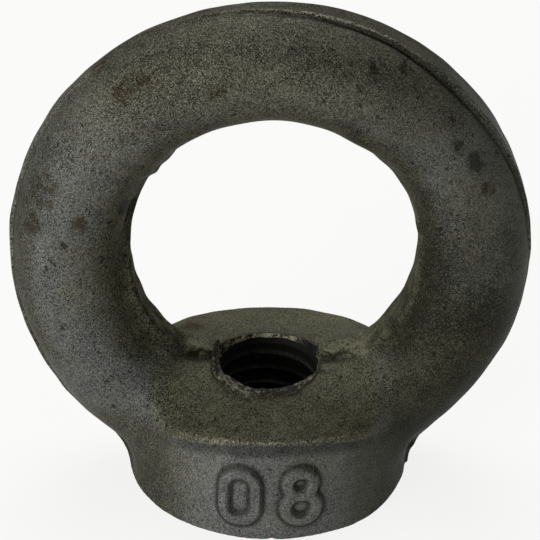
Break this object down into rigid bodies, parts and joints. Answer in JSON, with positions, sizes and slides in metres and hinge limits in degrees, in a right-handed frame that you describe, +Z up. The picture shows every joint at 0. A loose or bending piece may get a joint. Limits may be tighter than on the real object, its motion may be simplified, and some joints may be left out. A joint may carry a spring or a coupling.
{
  "type": "lifting eye nut",
  "caption": "Forged lifting eye nut: an upright round ring on a short round base, with a threaded hole up through the base.",
  "frame": {"origin": "on the thread's axis, in the plane of the machined bottom face of the base", "axes": "+Z up along the thread's axis, from the bottom face to the top of the ring; the ring stands in the XZ plane, so Y passes through the eye"},
  "size_m": [0.036, 0.02, 0.036],
  "materials": {
    "forged_steel": "dull dark forging scale with olive tint, fine grit, rust stains and a worn bright rim"
  },
  "bodies": {
    "root": {"eye_nut": "forged_steel"}
  },
  "joints": []
}
